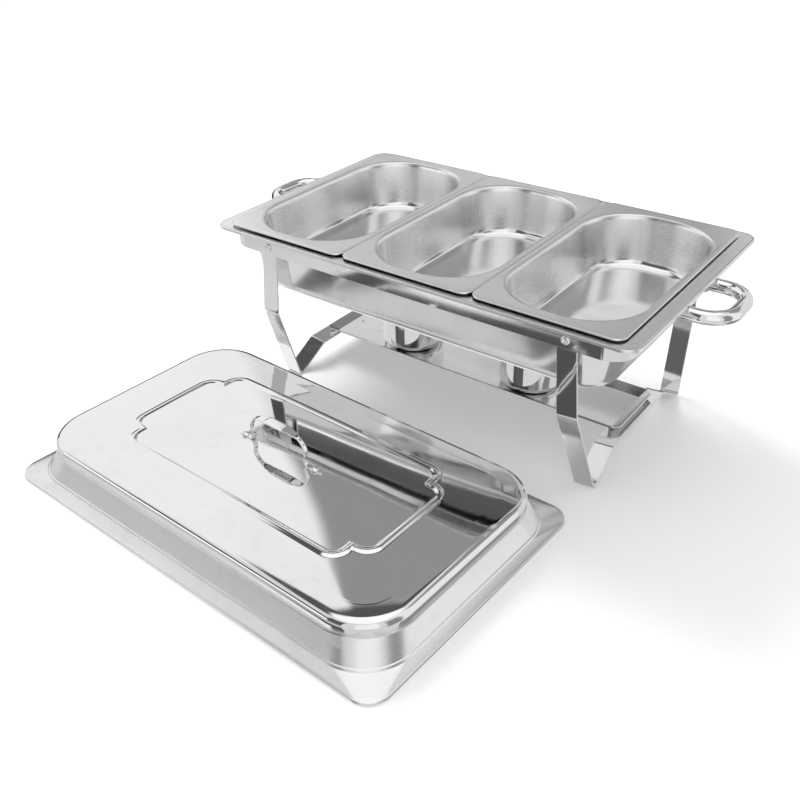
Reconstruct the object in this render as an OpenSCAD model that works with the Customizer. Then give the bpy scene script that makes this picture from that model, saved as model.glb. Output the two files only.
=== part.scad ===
// Folding chafing dish: strip stand, water pan, three food pans, two fuel burners and a loose lid.
// Millimetres, +Z up. The origin is on the floor, under the middle of the laid-out set:
// the stand is at the back and the lid lies on the floor in front of it.

/* [Food pans] */
// Width of one food pan over its rim, one third of a full-size pan
food_w = 174.5; // [172:0.5:176]
// Length of a food pan over its rim
food_l = 325; // [320:1:326]
// Depth of a food pan under its rim
food_depth = 63; // [40:1:65]
// Gap between neighbouring food pans
food_gap = 0.6; // [0.4:0.1:1.2]
// Height of the turned-down edge of a food pan
food_edge_h = 4; // [3:0.5:5]

/* [Water pan] */
// Length of the water pan over its rim
pan_l = 561; // [558:1:564]
// Width of the water pan over its rim
pan_w = 340; // [338:1:344]
// Height of the rim above the floor
rim_z = 215; // [210:1:225]
// Depth of the water pan under its rim
pan_depth = 75; // [72:1:80]
// Height of the turned-down edge of the water pan
pan_edge_h = 4; // [3:0.5:4]

/* [Stand] */
// Height of the strip that forms the top ring
ring_h = 21; // [19:1:24]
// How far the ring sits inside the long edges of the rim
ring_inset = 6; // [5.5:0.1:6.5]
// How far the ring sits inside the short edges of the rim
ring_end_inset = 15; // [14:0.5:16]
// How far the loose water pan has been pushed along the ring
pan_shift = -4; // [-5:0.5:2]
// Width of the leg strip
leg_w = 24; // [20:1:25]
// Distance between the pivots of the two leg frames
pivot_span = 400; // [398:1:410]
// How far each leg frame leans outwards
splay = 5.1; // [4:0.1:5.5]
// Height of the crossbar that carries the tray
crossbar_z = 29.6; // [26:0.2:34]

/* [End handles] */
// Diameter of the handle tube
tube_d = 16; // [10:1:17]
// Width of a handle between tube centres
handle_w = 80; // [70:1:100]
// Reach of a handle from the ring to the tube centre
handle_reach = 51; // [38:1:60]

/* [Fuel tray and burners] */
// Length of the flat of the tray
tray_l = 416; // [414:1:418]
// Width of the flat of the tray
tray_w = 78; // [72:1:80]
// Width of the flared edge of the tray
tray_edge = 14; // [10:1:15]
// Outside diameter of a burner cup
cup_d = 82; // [70:1:84]
// Height of a burner cup
cup_h = 47; // [30:1:50]

/* [Lid] */
// Length of the lid over its edge
lid_l = 547; // [545:1:550]
// Width of the lid over its edge
lid_w = 333; // [332:1:336]
// Height of the lid at the edge of its flat top
lid_h = 51; // [46:1:60]
// Rise of the crowned top above that edge
lid_crown = 6.5; // [4:0.5:9]
// Turn of the lid as it lies beside the stand
lid_turn = -2.9; // [-4:0.1:0]

/* [Hidden] */
$fn = 64;

// Sheet thicknesses and the clearances between loose pieces.
sheet = 1;
strip_t = 2;
rest_gap = 0.1;
slide_gap = 0.3;
fit_gap = 0.05;

// Food pans: basin opening, its corner radius, taper and the radii of lip and floor.
food_basin_x = 78;
food_basin_y = 146;
food_basin_r = 68;
food_taper = 10;
food_lip_r = 3;
food_floor_r = 12;
food_corner_r = 13;
food_pitch = food_w + food_gap;
food_top = rim_z + rest_gap + food_edge_h;

// Water pan: half sizes of the opening and of the wall just above the floor radius.
pan_open_x = pan_l / 2 - 25.5;
pan_open_y = pan_w / 2 - 15;
pan_foot_x = pan_open_x - 14;
pan_foot_y = pan_open_y - 7;
pan_floor_r = 12;
pan_corner_r = 18;

// Stand: ring faces, leg strip faces and the pivots.
ring_x = pan_l / 2 - ring_end_inset;
ring_y = pan_w / 2 - ring_inset;
ring_r = 30;
ring_top = rim_z - sheet - rest_gap;
leg_outer = ring_y - strip_t - slide_gap;
pivot_z = ring_top - ring_h / 2 - 0.7;
handle_z = pivot_z - 0.5;
pivot_r = 3;
pivot_x = pivot_span / 2;
leg_top_r = 11.3;

// Leg frame outline in its own plane, measured from the pivot.
leg_len = (pivot_z - leg_w / 2 * sin(splay)) / cos(splay);
knee_drop = 90;
foot_y = 117.3;
foot_flat = 5;
fold_y = 71;
fold_drop = (pivot_z - crossbar_z) / cos(splay);
bend_r = 3.2;

// Fuel tray: its floor sits just above the crossbars' sloping top.
tray_y = 4;
tray_t = 1.2;
tray_tilt = 30;
tray_x = tray_l / 2;
crossbar_x = pivot_x + fold_drop * sin(splay);
tray_z = crossbar_z + (tray_x - crossbar_x) * tan(splay) + 0.15;
tray_rivet_x = tray_x - 11;

// Burners: where each stands on the tray, and its opening.
burner_y = 3;
burner_x = [-106, 78];
burner_z = tray_z + tray_t + rest_gap;
cup_r = cup_d / 2;
open_r = cup_r - 15;
cover_t = 1;
damper_t = 1;
damper_pivot = cup_r - 6;
damper_lap = 3;
damper_grip = 9;

// Lid: half sizes and corner radii from the edge to the flat top.
lid_edge_h = 3;
lid_edge_r = 25;
lid_base_z = 8.6;
lid_wall_z = 42;
lid_flat = 0.3;
lid_peak = lid_h + lid_crown;
lid_foot_x = 53;
lid_rivet_r = 2.5;

// Places of the stand and the lid, so that the whole set is centred on the origin.
lid_dx = -48.9;
lid_dy = -325.3;
turn_c = cos(lid_turn);
turn_s = abs(sin(lid_turn));
lid_half_x = (lid_l / 2 - lid_edge_r) * turn_c + (lid_w / 2 - lid_edge_r) * turn_s + lid_edge_r;
lid_half_y = (lid_w / 2 - lid_edge_r) * turn_c + (lid_l / 2 - lid_edge_r) * turn_s + lid_edge_r;
reach_x = ring_x + handle_reach + tube_d / 2;
low_x = min(-reach_x, pan_shift - pan_l / 2, lid_dx - lid_half_x);
high_x = max(reach_x, lid_dx + lid_half_x);
stand_at = [-(low_x + high_x) / 2, -(lid_dy - lid_half_y + pan_w / 2) / 2, 0];
lid_at = stand_at + [lid_dx, lid_dy, 0];

// ---- shared shapes ----

// A quarter turn of points about (x, y), starting at angle a.
function corner(x, y, r, a, n) =
    [for (i = [0:n]) [x + r * cos(a + 90 * i / n), y + r * sin(a + 90 * i / n)]];

// Outline of a rounded rectangle with half sizes x and y, anticlockwise.
function rounded_outline(x, y, r, n) =
    concat(corner(x - r, y - r, r, 0, n), corner(r - x, y - r, r, 90, n),
           corner(r - x, r - y, r, 180, n), corner(x - r, r - y, r, 270, n));

// Sections of a rounded edge of radius e: [half x, half y, corner radius, z] from angle a0 to a1,
// where 0 points down and 90 points out.
function edge(x, y, r, z, e, a0, a1, n) =
    [for (i = [0:n]) let (a = a0 + (a1 - a0) * i / n)
        [x - e + e * sin(a), y - e + e * sin(a), r - e + e * sin(a), z + e - e * cos(a)]];

// A sheet shell that follows a list of rounded-rectangle sections, closed at both ends.
module shell(sections, n = 10) {
    m = 4 * (n + 1);
    last = len(sections) - 1;
    points = [for (s = sections) each [for (p = rounded_outline(s[0], s[1], s[2], n)) [p.x, p.y, s[3]]]];
    sides = [for (k = [0:last - 1], i = [0:m - 1]) let (j = (i + 1) % m, a = k * m, b = a + m)
        each [[a + i, b + i, b + j], [a + i, b + j, a + j]]];
    polyhedron(points, concat([[for (i = [0:m - 1]) i]], sides,
                              [[for (i = [m - 1:-1:0]) last * m + i]]), convexity = 6);
}

function unit(v) = v / norm(v);
function wrap(a) = a > 180 ? a - 360 : a < -180 ? a + 360 : a;
function reverse(list) = [for (i = [len(list) - 1:-1:0]) list[i]];

// Points of the bend of radius r at b, between the straights from a and to c.
function bend(a, b, c, r, n) =
    let (u = unit(a - b), v = unit(c - b), half = acos(u * v) / 2,
         centre = b + unit(u + v) * r / sin(half),
         p = b + u * r / tan(half) - centre, q = b + v * r / tan(half) - centre,
         a0 = atan2(p.y, p.x), turn = wrap(atan2(q.y, q.x) - a0))
    [for (i = [0:n]) centre + r * [cos(a0 + turn * i / n), sin(a0 + turn * i / n)]];

// A bent line through the corners p with bends of radius r.
function bent(p, r, n = 5) =
    concat([p[0]], [for (i = [1:len(p) - 2]) each bend(p[i - 1], p[i], p[i + 1], r, n)],
           [p[len(p) - 1]]);

// The line p moved sideways by d.
function beside(p, d) =
    [for (i = [0:len(p) - 1])
        let (t = unit(p[min(i + 1, len(p) - 1)] - p[max(i - 1, 0)])) p[i] + d * [-t.y, t.x]];

// Section of a bent strip of thickness t.
module strip_section(p, t) {
    polygon(concat(beside(p, t / 2), reverse(beside(p, -t / 2))));
}

module rounded_plate(l, w, r) {
    square([l - 2 * r, w], center = true);
    square([l, w - 2 * r], center = true);
    for (x = [-1, 1], y = [-1, 1]) translate([x * (l / 2 - r), y * (w / 2 - r)]) circle(r);
}

// A domed rivet head of diameter d and height h, standing on z = 0.
module rivet_head(d, h) {
    ball = (d * d / 4 + h * h) / (2 * h);
    intersection() {
        translate([0, 0, h - ball]) sphere(ball);
        cylinder(r = d / 2 + 1, h = h + 1);
    }
}

// ---- stand ----

module on_stand() { translate(stand_at) children(); }

module top_ring() {
    on_stand() color("gainsboro") difference() {
        translate([0, 0, ring_top - ring_h]) linear_extrude(ring_h) difference() {
            rounded_plate(2 * ring_x, 2 * ring_y, ring_r);
            rounded_plate(2 * (ring_x - strip_t), 2 * (ring_y - strip_t), ring_r - strip_t);
        }
        for (x = [-pivot_x, pivot_x]) translate([x, 0, pivot_z]) rotate([90, 0, 0])
            cylinder(r = pivot_r, h = pan_w, center = true);
    }
}

// Half of an end handle: a stub, a quarter bend and half of the bar, for y >= 0.
module handle_half() {
    bend_at = handle_reach - (handle_w / 2 - 10);
    rotate([0, 90, 0]) translate([0, handle_w / 2, 0]) cylinder(d = tube_d, h = bend_at);
    translate([bend_at, 10, 0]) rotate_extrude(angle = 90)
        translate([handle_w / 2 - 10, 0]) circle(d = tube_d, $fn = 32);
    translate([handle_reach, 0, 0]) rotate([-90, 0, 0]) cylinder(d = tube_d, h = 10);
}

module end_handle(side) {
    on_stand() translate([0, 0, handle_z]) mirror([side < 0 ? 1 : 0, 0, 0]) translate([ring_x, 0, 0])
        color("silver") {
            handle_half();
            mirror([0, 1, 0]) handle_half();
        }
}

module handle_collars() {
    on_stand() translate([0, 0, handle_z]) color("gray")
        for (side = [0, 1], y = [-1, 1]) mirror([side, 0, 0])
            translate([ring_x, y * handle_w / 2, 0]) rotate([0, 90, 0]) difference() {
                cylinder(d = tube_d + 5, h = 2);
                translate([0, 0, -1]) cylinder(d = tube_d + 2 * fit_gap, h = 4);
            }
}

module pivot_rivets() {
    on_stand() color("white") for (x = [-pivot_x, pivot_x], y = [0, 1]) mirror([0, y, 0])
        translate([x, -ring_y, pivot_z]) rotate([90, 0, 0]) {
            rivet_head(10, 2);
            translate([0, 0, -strip_t * 2 - slide_gap - rest_gap])
                cylinder(r = pivot_r, h = strip_t * 2 + slide_gap + rest_gap + 0.5);
            mirror([0, 0, 1]) translate([0, 0, strip_t * 2 + slide_gap + rest_gap])
                rivet_head(9, 1.2);
        }
}

// One leg frame, hanging from its pivots: two bent legs with vee feet, joined by a crossbar.
module leg_frame() {
    y = leg_outer - strip_t / 2;
    foot = -leg_len + strip_t / 2;
    half = [[y, leg_top_r + 1], [y, -knee_drop], [foot_y + foot_flat / 2, foot],
            [foot_y - foot_flat / 2, foot], [fold_y, -fold_drop - strip_t / 2]];
    whole = concat(half, [for (p = reverse(half)) [-p.x, p.y]]);
    difference() {
        rotate([90, 0, 90]) translate([0, 0, -leg_w / 2]) linear_extrude(leg_w)
            strip_section(bent(whole, bend_r, 4), strip_t);
        rotate([90, 0, 0]) translate([0, 0, -pan_w / 2]) linear_extrude(pan_w) difference() {
            translate([-leg_w, 0]) square([2 * leg_w, 2 * leg_w]);
            circle(leg_top_r);
            translate([-leg_w, -1]) square([2 * leg_w, 3]);
        }
        rotate([90, 0, 0]) cylinder(r = pivot_r + fit_gap, h = pan_w, center = true);
    }
}

module leg_frame_left() {
    on_stand() translate([-pivot_x, 0, pivot_z]) rotate([0, splay, 0]) color("silver") leg_frame();
}

module leg_frame_right() {
    on_stand() translate([pivot_x, 0, pivot_z]) rotate([0, -splay, 0]) color("silver") leg_frame();
}

// ---- fuel tray ----

module fuel_tray() {
    run = tray_edge * cos(tray_tilt);
    rise = tray_edge * sin(tray_tilt);
    fold = tray_t * tan(tray_tilt / 2);
    half = [tray_x, tray_w / 2];
    chamfer = 8;
    on_stand() translate([0, tray_y, tray_z]) color("gainsboro") difference() {
        shell([[half.x, half.y, 1, 0],
               [half.x + run, half.y + run, chamfer, rise],
               [half.x + run - tray_t * sin(tray_tilt), half.y + run - tray_t * sin(tray_tilt),
                chamfer, rise + tray_t * cos(tray_tilt)],
               [half.x - fold, half.y - fold, 1, tray_t]], 1);
        for (x = [-tray_rivet_x, tray_rivet_x]) translate([x, 0, -1]) cylinder(r = 1.5, h = 4);
    }
}

module tray_rivets() {
    on_stand() color("white") for (x = [-tray_rivet_x, tray_rivet_x])
        translate([x, tray_y, tray_z]) {
            translate([0, 0, tray_t]) rivet_head(6, 1.2);
            translate([0, 0, -0.5]) cylinder(r = 1.5, h = tray_t + 1);
            translate([0, 0, -1.5]) cylinder(r = 3, h = 1.5);
        }
}

// ---- burners ----

module at_burner(i) {
    on_stand() translate([burner_x[i], burner_y, burner_z]) rotate([0, 0, 180]) children();
}

module burner_cup(i) {
    floor_r = 10;
    at_burner(i) color("silver") rotate_extrude() difference() {
        union() {
            square([cup_r - floor_r, floor_r]);
            translate([0, floor_r]) square([cup_r, cup_h - floor_r]);
            translate([cup_r - floor_r, floor_r]) circle(floor_r, $fn = 24);
        }
        translate([0, sheet]) square([cup_r - floor_r, cup_h]);
        translate([0, floor_r]) square([cup_r - sheet, cup_h]);
        translate([cup_r - floor_r, floor_r]) circle(floor_r - sheet, $fn = 24);
        translate([-cup_r, -1]) square([cup_r, cup_h + 2]);
    }
}

module burner_cover(i) {
    skirt = cup_r - sheet - 0.4;
    at_burner(i) color("silver") translate([0, 0, cup_h]) difference() {
        union() {
            cylinder(r = cup_r, h = cover_t);
            translate([0, 0, -5]) cylinder(r = skirt, h = 5.2);
        }
        translate([0, 0, -6]) cylinder(r = skirt - 1, h = 6);
        translate([0, 0, -1]) cylinder(r = open_r, h = 4);
        translate([0, damper_pivot, -1]) cylinder(r = 1.5, h = 4);
    }
}

module damper(i) {
    at_burner(i) color("white") translate([0, 0, cup_h + cover_t + rest_gap]) difference() {
        union() {
            cylinder(r = open_r + damper_lap, h = damper_t);
            translate([-4, -cup_r - damper_grip, 0]) cube([8, cup_r, damper_t]);
            translate([0, -cup_r - damper_grip, 0]) cylinder(r = 4, h = damper_t);
            translate([-4, open_r - damper_lap, 0]) cube([8, damper_pivot - open_r + damper_lap, damper_t]);
            translate([0, damper_pivot, 0]) cylinder(r = 4, h = damper_t);
        }
        translate([0, damper_pivot, -1]) cylinder(r = 1.5 + fit_gap, h = 4);
    }
}

module damper_rivet(i) {
    stack = cover_t + damper_t + 2 * rest_gap;
    at_burner(i) color("gainsboro") translate([0, damper_pivot, cup_h]) {
        translate([0, 0, -1]) cylinder(r = 1.5, h = stack + 1.5);
        translate([0, 0, -1]) cylinder(r = 2.5, h = 1);
        translate([0, 0, stack]) rivet_head(6, 1.3);
    }
}

// ---- pans ----

module water_pan() {
    floor_z = rim_z - pan_depth;
    top = [pan_l / 2, pan_w / 2, pan_corner_r];
    open_r = 44;
    foot_r = 38;
    lip = 2;
    on_stand() translate([pan_shift, 0, 0]) color("gainsboro") shell(concat(
        edge(pan_foot_x, pan_foot_y, foot_r, floor_z, pan_floor_r, 0, 90, 4),
        [[pan_open_x, pan_open_y, open_r, rim_z - sheet - lip],
         [pan_open_x + lip, pan_open_y + lip, open_r - lip, rim_z - sheet],
         [top[0] - sheet, top[1] - sheet, top[2] - sheet, rim_z - sheet],
         [top[0] - sheet, top[1] - sheet, top[2] - sheet, rim_z - pan_edge_h],
         [top[0], top[1], top[2], rim_z - pan_edge_h],
         [top[0], top[1], top[2], rim_z - sheet],
         [top[0] - sheet, top[1] - sheet, top[2] - sheet, rim_z],
         [pan_open_x + lip, pan_open_y + lip, open_r - lip, rim_z],
         [pan_open_x - sheet, pan_open_y - sheet, open_r - sheet, rim_z - lip]],
        reverse(edge(pan_foot_x - sheet, pan_foot_y - sheet, foot_r - sheet, floor_z + sheet,
                     pan_floor_r - sheet, 0, 90, 4))), 8);
}

module food_pan(x) {
    floor_z = food_top - food_depth;
    bx = food_basin_x;
    by = food_basin_y;
    br = food_basin_r;
    rim = [food_w / 2, food_l / 2, food_corner_r];
    foot = food_taper;
    lip_z = food_top - food_lip_r;
    on_stand() translate([x + pan_shift, 0, 0]) color("lightgray") shell(concat(
        edge(bx - foot, by - foot, br - foot, floor_z, food_floor_r, 0, 90, 4),
        [[bx, by, br, lip_z - sheet],
         [bx + food_lip_r - 0.5, by + food_lip_r, br, food_top - sheet],
         [rim[0] - sheet, rim[1] - sheet, rim[2] - sheet, food_top - sheet],
         [rim[0] - sheet, rim[1] - sheet, rim[2] - sheet, food_top - food_edge_h],
         [rim[0], rim[1], rim[2], food_top - food_edge_h],
         [rim[0], rim[1], rim[2], food_top - sheet],
         [rim[0] - sheet, rim[1] - sheet, rim[2] - sheet, food_top],
         [bx + food_lip_r, by + food_lip_r, br, food_top],
         [bx, by, br, food_top - sheet],
         [bx - sheet, by - sheet, br - sheet, lip_z]],
        reverse(edge(bx - foot - sheet, by - foot - sheet, br - foot - sheet, floor_z + sheet,
                     food_floor_r - sheet, 0, 90, 4))));
}

// ---- lid ----

module on_lid() { translate(lid_at) rotate([0, 0, lid_turn]) children(); }

// Sections of the crowned top, from its edge to the small flat in the middle.
function crown(x, y, r, z) =
    [for (s = [1:-0.14:lid_flat]) [x * s, y * s, r * s, z + lid_crown * (1 - pow((s - lid_flat) / (1 - lid_flat), 2))]];

module lid_shell() {
    e = [lid_l / 2, lid_w / 2];
    outside = concat(
        [[e.x, e.y, lid_edge_r, 0],
         [e.x, e.y, lid_edge_r, lid_edge_h - sheet],
         [e.x - sheet, e.y - sheet, lid_edge_r - sheet, lid_edge_h],
         [e.x - 10, e.y - 13, 56, lid_base_z],
         [e.x - 20, e.y - 25, 57, lid_wall_z],
         [e.x - 21.5, e.y - 27, 56, lid_wall_z + 4.5],
         [e.x - 25, e.y - 32, 52, lid_h - 1.5]],
        crown(e.x - 29, e.y - 38, 46, lid_h));
    inside = concat(
        [[e.x - sheet, e.y - sheet, lid_edge_r - sheet, 0],
         [e.x - sheet, e.y - sheet, lid_edge_r - sheet, lid_edge_h - sheet],
         [e.x - 10 - sheet, e.y - 13 - sheet, 55, lid_base_z - sheet],
         [e.x - 20 - sheet, e.y - 25 - sheet, 56, lid_wall_z],
         [e.x - 23, e.y - 28.5, 54, lid_wall_z + 3.5],
         [e.x - 26, e.y - 33, 51, lid_h - 2.5]],
        crown(e.x - 29.5, e.y - 38.5, 45.5, lid_h - sheet));
    on_lid() color("lightgray") difference() {
        shell(concat(reverse(inside), outside));
        for (x = [-lid_foot_x, lid_foot_x]) translate([x, 0, lid_h]) cylinder(r = lid_rivet_r, h = 20);
    }
}

// Strap handle: an arched grip on two legs with turned-out feet.
module lid_handle() {
    z = lid_peak + rest_gap;
    t = 1.6;
    lens_r = 90;
    lens_shift = 83;
    line = [[-62, z + t / 2], [-41, z + t / 2], [-37, z + 18], [-34, z + 33], [-14, z + 37],
            [14, z + 37], [34, z + 33], [37, z + 18], [41, z + t / 2], [62, z + t / 2]];
    on_lid() color("silver") difference() {
        intersection() {
            rotate([90, 0, 0]) translate([0, 0, -15]) linear_extrude(30)
                strip_section(bent(line, 2.5, 3), t);
            translate([0, 0, z - 1]) linear_extrude(60) {
                intersection() {
                    translate([0, -lens_shift]) circle(r = lens_r);
                    translate([0, lens_shift]) circle(r = lens_r);
                }
                square([84, 6], center = true);
                for (x = [-lid_foot_x, lid_foot_x]) translate([x, 0]) circle(8);
                square([100, 11], center = true);
            }
        }
        for (x = [-lid_foot_x, lid_foot_x]) translate([x, 0, z - 1]) cylinder(r = lid_rivet_r, h = 5);
    }
}

module lid_rivets() {
    under = lid_peak - sheet - 1.2 - 2 * rest_gap;
    over = lid_peak + rest_gap + 1.6;
    on_lid() color("white") for (x = [-lid_foot_x, lid_foot_x]) translate([x, 0, 0]) {
        translate([0, 0, under - 0.5]) cylinder(r = lid_rivet_r, h = over - under + 1);
        translate([0, 0, over]) rivet_head(9, 2.4);
        translate([0, 0, under - 1.2]) cylinder(r = 4, h = 1.2);
    }
}

module lid_washers() {
    on_lid() color("gray") for (x = [-lid_foot_x, lid_foot_x])
        translate([x, 0, lid_peak - sheet - 1.2 - rest_gap]) difference() {
            cylinder(r = 7, h = 1.2);
            translate([0, 0, -1]) cylinder(r = lid_rivet_r + fit_gap, h = 4);
        }
}

top_ring();
end_handle(-1);  // handle_left
end_handle(1);  // handle_right
handle_collars();
pivot_rivets();
leg_frame_left();
leg_frame_right();
fuel_tray();
tray_rivets();
burner_cup(0);  // burner_cup_left
burner_cover(0);  // burner_cover_left
damper(0);  // damper_left
damper_rivet(0);  // damper_rivet_left
burner_cup(1);  // burner_cup_right
burner_cover(1);  // burner_cover_right
damper(1);  // damper_right
damper_rivet(1);  // damper_rivet_right
water_pan();
food_pan(-food_pitch);  // food_pan_left
food_pan(0);  // food_pan_middle
food_pan(food_pitch);  // food_pan_right
lid_shell();
lid_handle();
lid_rivets();
lid_washers();
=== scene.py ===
"""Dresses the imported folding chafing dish: steel sheet, strip and tube, lit in a plain pale studio."""
import logging
import math
from dataclasses import dataclass, field
from enum import Enum

import bpy
import numpy as np
from mathutils import Matrix, Vector


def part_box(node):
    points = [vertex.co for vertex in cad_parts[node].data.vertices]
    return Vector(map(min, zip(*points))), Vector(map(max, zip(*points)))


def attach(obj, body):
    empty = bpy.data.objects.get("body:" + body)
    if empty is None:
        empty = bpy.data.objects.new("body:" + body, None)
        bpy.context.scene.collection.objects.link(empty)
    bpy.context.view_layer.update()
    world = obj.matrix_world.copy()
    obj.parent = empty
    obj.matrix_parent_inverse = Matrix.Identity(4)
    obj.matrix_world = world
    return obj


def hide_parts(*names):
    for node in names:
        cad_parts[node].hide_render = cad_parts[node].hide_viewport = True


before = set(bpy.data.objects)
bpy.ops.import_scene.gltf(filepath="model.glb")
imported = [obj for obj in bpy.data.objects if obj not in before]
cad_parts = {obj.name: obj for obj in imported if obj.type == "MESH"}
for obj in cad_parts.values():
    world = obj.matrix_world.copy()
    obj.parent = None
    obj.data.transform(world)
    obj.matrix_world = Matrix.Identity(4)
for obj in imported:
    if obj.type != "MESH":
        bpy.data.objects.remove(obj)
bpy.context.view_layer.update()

MM = 0.001
DEGREE = 180.0 / math.pi
LOG = logging.getLogger("chafing_dish")


# ---- shader building -------------------------------------------------------------------------


class Val:
    """A number socket that adds Math nodes when it is used in an expression."""

    def __init__(self, nodes: "Nodes", socket: bpy.types.NodeSocket) -> None:
        """Keep the node maker and the output socket."""
        self.nodes = nodes
        self.socket = socket

    def _do(self, operation: str, *values: "Val | float") -> "Val":
        """Return the result of one Math node on these values."""
        outputs = self.nodes.make("ShaderNodeMath", {"operation": operation}, dict(enumerate(values)))
        return Val(self.nodes, outputs[0])

    def __add__(self, other: "Val | float") -> "Val":
        """Return self + other."""
        return self._do("ADD", self, other)

    def __sub__(self, other: "Val | float") -> "Val":
        """Return self - other."""
        return self._do("SUBTRACT", self, other)

    def __rsub__(self, other: float) -> "Val":
        """Return other - self."""
        return self._do("SUBTRACT", other, self)

    def __mul__(self, other: "Val | float") -> "Val":
        """Return self * other."""
        return self._do("MULTIPLY", self, other)

    __radd__ = __add__
    __rmul__ = __mul__

    def absolute(self) -> "Val":
        """Return the absolute value."""
        return self._do("ABSOLUTE", self)

    def heading(self, north: "Val") -> "Val":
        """Return the angle in degrees from north towards this value."""
        return self._do("ARCTAN2", self, north) * DEGREE

    def elevation(self) -> "Val":
        """Return the angle in degrees whose sine this is."""
        return self._do("ARCSINE", self) * DEGREE

    def ramp(self, low: float, high: float) -> "Val":
        """Return 0 below low and 1 above high, with a smooth step between; low may be the larger."""
        settings = {"interpolation_type": "SMOOTHSTEP"}
        if low > high:
            return 1.0 - self.ramp(high, low)
        inputs = {0: self, 1: low, 2: high}
        return Val(self.nodes, self.nodes.make("ShaderNodeMapRange", settings, inputs)[0])


class Nodes:
    """Makes the nodes of one material."""

    def __init__(self, name: str) -> None:
        """Start an empty node material of this name."""
        self.material = bpy.data.materials.new(name)
        self.material.use_nodes = True
        self.tree = self.material.node_tree
        self.tree.nodes.clear()

    def make(self, kind: str, settings: dict | None = None,
             inputs: dict | None = None) -> bpy.types.NodeOutputs:
        """Add one node.

        Args:
            kind: the node's type.
            settings: properties of the node, set before its sockets.
            inputs: a value, a socket or a Val for each input, by name or place.

        Returns:
            The node's outputs.
        """
        node = self.tree.nodes.new(kind)
        for key, value in (settings or {}).items():
            setattr(node, key, value)
        for key, value in (inputs or {}).items():
            if isinstance(value, Val):
                value = value.socket
            if isinstance(value, bpy.types.NodeSocket):
                self.tree.links.new(value, node.inputs[key])
            else:
                node.inputs[key].default_value = value
        return node.outputs

    def mapped(self, source: str, scale: tuple[float, float, float]) -> bpy.types.NodeSocket:
        """Return the Object or UV coordinates times a scale."""
        spot = self.make("ShaderNodeTexCoord")[source]
        return self.make("ShaderNodeMapping", {}, {"Vector": spot, "Scale": scale})[0]

    def noise(self, vector: bpy.types.NodeSocket, scale: float, detail: float = 3.0) -> Val:
        """Return fractal noise from 0 to 1 over the vector."""
        inputs = {"Vector": vector, "Scale": scale, "Detail": detail}
        return Val(self, self.make("ShaderNodeTexNoise", {}, inputs)[0])

    def attribute(self, name: str) -> Val:
        """Return a mesh attribute as a number."""
        return Val(self, self.make("ShaderNodeAttribute", {"attribute_name": name})["Fac"])


@dataclass(frozen=True)
class Steel:
    """Stainless sheet: polished where the zone attribute is 0 and satin where it is 1.

    Polished and satin are roughnesses. Grain is fine drawn lines, by the stretch of their
    coordinates; clouds are broad wipe marks and marks are small spots inside them, both in smudge;
    ripple is the sheet's slow unevenness.
    """

    name: str
    tone: float = 0.8
    polished: float = 0.08
    satin: float = 0.3
    grain: float = 0.02
    ripple: float = 0.1
    smudge: float = 0.06
    warm: float = 0.0
    zoned: bool = True
    coordinates: str = "UV"
    stretch: tuple[float, float, float] = (6.0, 900.0, 1.0)
    cloud_scale: float = 9.0
    mark_scale: float = 55.0
    ripple_scale: float = 14.0
    ripple_depth: float = 0.004
    grain_depth: float = 0.0003
    grain_rough: float = 0.1
    grain_shade: float = 0.12
    cloud_shade: float = 0.05
    mark_shade: float = 0.03

    def build(self) -> bpy.types.Material:
        """Return the node material."""
        n = Nodes(self.name)
        grain = n.noise(n.mapped(self.coordinates, self.stretch), 1.0, 2.0)
        place = n.mapped("Object", (1.0, 1.0, 1.0))
        cloud = n.noise(place, self.cloud_scale, 4.0).ramp(0.35, 0.75)
        marks = n.noise(place, self.mark_scale, 5.0).ramp(0.52, 0.7)
        zone = n.attribute("zone").ramp(0.0, 1.0) if self.zoned else 1.0
        rough = zone * (self.satin - self.polished) + self.polished
        rough = rough + (grain - 0.5) * self.grain_rough * zone
        rough = rough + cloud * self.smudge * 0.5 + marks * cloud * self.smudge
        lines = (grain - 0.5).absolute() * self.grain_shade * zone
        shade = 1.0 - (cloud * self.cloud_shade + marks * self.mark_shade + lines)
        base = (self.tone * (1 + self.warm), self.tone, self.tone * (1 - self.warm))
        colour = n.make("ShaderNodeVectorMath", {"operation": "SCALE"}, {0: base, "Scale": shade})[0]
        wave = {"Height": n.noise(place, self.ripple_scale, 1.0), "Strength": self.ripple,
                "Distance": self.ripple_depth}
        soft = n.make("ShaderNodeBump", {}, wave)[0]
        fine = {"Height": grain * zone, "Strength": self.grain * 5.0, "Distance": self.grain_depth,
                "Normal": soft}
        normal = n.make("ShaderNodeBump", {}, fine)[0]
        surface = {"Base Color": colour, "Metallic": 1.0, "Roughness": rough, "Normal": normal}
        shader = n.make("ShaderNodeBsdfPrincipled", {}, surface)[0]
        n.make("ShaderNodeOutputMaterial", {}, {"Surface": shader})
        return n.material


@dataclass(frozen=True)
class Tabletop:
    """The pale matt floor."""

    name: str = "floor_white"
    tone: float = 0.93

    def build(self) -> bpy.types.Material:
        """Return the node material."""
        n = Nodes(self.name)
        place = n.mapped("Object", (1.0, 1.0, 1.0))
        shade = 1.0 - n.noise(place, 3.0, 2.0) * 0.01
        base = (self.tone, self.tone, self.tone)
        colour = n.make("ShaderNodeVectorMath", {"operation": "SCALE"}, {0: base, "Scale": shade})[0]
        surface = {"Base Color": colour, "Roughness": 1.0, "Specular IOR Level": 0.0}
        shader = n.make("ShaderNodeBsdfPrincipled", {}, surface)[0]
        n.make("ShaderNodeOutputMaterial", {}, {"Surface": shader})
        return n.material


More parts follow.
